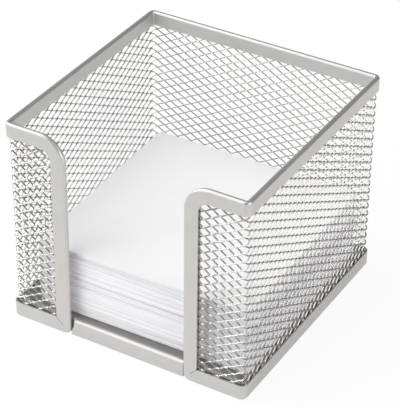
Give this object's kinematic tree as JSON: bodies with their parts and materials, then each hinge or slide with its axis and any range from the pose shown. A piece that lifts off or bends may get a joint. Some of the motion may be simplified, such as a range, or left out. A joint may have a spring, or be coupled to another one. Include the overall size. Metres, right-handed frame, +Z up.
{
  "type": "memo holder",
  "caption": "Open square desk box of silver expanded metal with folded rims and a finger gap in the front, holding a block of loose note sheets.",
  "frame": {"origin": "on the table under the middle of the holder", "axes": "+Z up, -Y towards the finger gap in the front, +X to the right seen from the front"},
  "size_m": [0.1, 0.1, 0.085],
  "materials": {
    "rim": "satin silver paint",
    "mesh": "satin silver paint",
    "plate": "satin silver paint",
    "paper": "matte uncoated"
  },
  "bodies": {
    "holder": {"base_plate": "plate", "base_rim_back": "rim", "base_rim_left": "rim", "base_rim_right": "rim", "base_rim_wing_left": "rim", "base_rim_wing_right": "rim", "front_rim_left": "rim", "front_rim_right": "rim", "mesh_back": "mesh", "mesh_bend_back_left": "mesh", "mesh_bend_back_right": "mesh", "mesh_bend_front_left": "mesh", "mesh_bend_front_right": "mesh", "mesh_left": "mesh", "mesh_right": "mesh", "mesh_wing_left": "mesh", "mesh_wing_right": "mesh", "top_rim_back": "rim", "top_rim_left": "rim", "top_rim_right": "rim"},
    "note_block": {"note_bundle_1": "paper", "note_bundle_2": "paper", "note_bundle_3": "paper", "note_bundle_4": "paper", "note_bundle_5": "paper", "note_bundle_6": "paper", "note_bundle_7": "paper", "note_bundle_8": "paper", "note_bundle_9": "paper"},
    "top_sheet": {"note_top_sheet": "paper"}
  },
  "joints": [
    {"name": "note_block_lift", "type": "slide", "parent": "holder", "child": "note_block", "axis": [0, 0, 1], "range_m": [0, 0.085]},
    {"name": "top_sheet_lift", "type": "slide", "parent": "note_block", "child": "top_sheet", "axis": [0, 0, 1], "range_m": [0, 0.06]}
  ]
}
